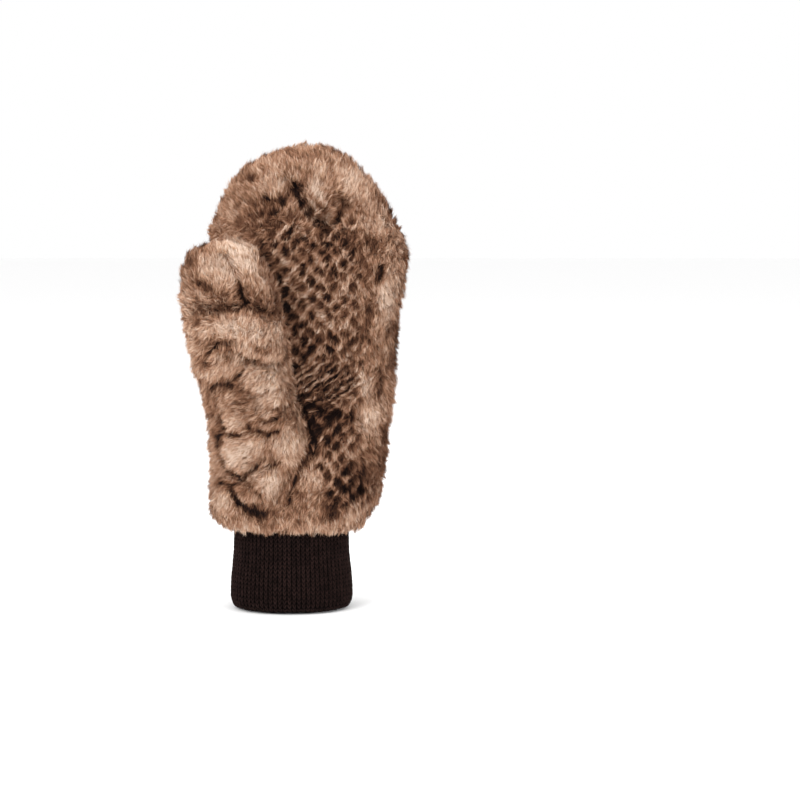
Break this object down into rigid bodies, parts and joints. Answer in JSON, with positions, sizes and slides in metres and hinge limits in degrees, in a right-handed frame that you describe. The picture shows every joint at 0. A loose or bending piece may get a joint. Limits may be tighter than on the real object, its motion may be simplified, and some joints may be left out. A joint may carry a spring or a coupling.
{
  "type": "faux fur mitten",
  "caption": "Left-hand mitten of short faux fur with a separate thumb and a ribbed knit cuff, hollow for the hand.",
  "frame": {"origin": "centre of the wrist opening, at the cuff's lower rim", "axes": "+Z from the wrist to the fingertips, -Y the way the palm faces, -X the thumb's side"},
  "size_m": [0.1283, 0.0998, 0.265],
  "materials": {
    "back_fur": "short dense faux fur, tan tips over a dark brown ground",
    "palm_fur": "short dense faux fur, tan with a lattice of dark brown spots",
    "thumb_fur": "short dense faux fur, pale tan tips over a dark brown ground",
    "rib_knit": "matte wool rib knit, very dark brown"
  },
  "bodies": {
    "root": {"back_panel": "back_fur", "palm_panel": "palm_fur", "thumb_panel": "thumb_fur", "rib_cuff": "rib_knit"}
  },
  "joints": []
}
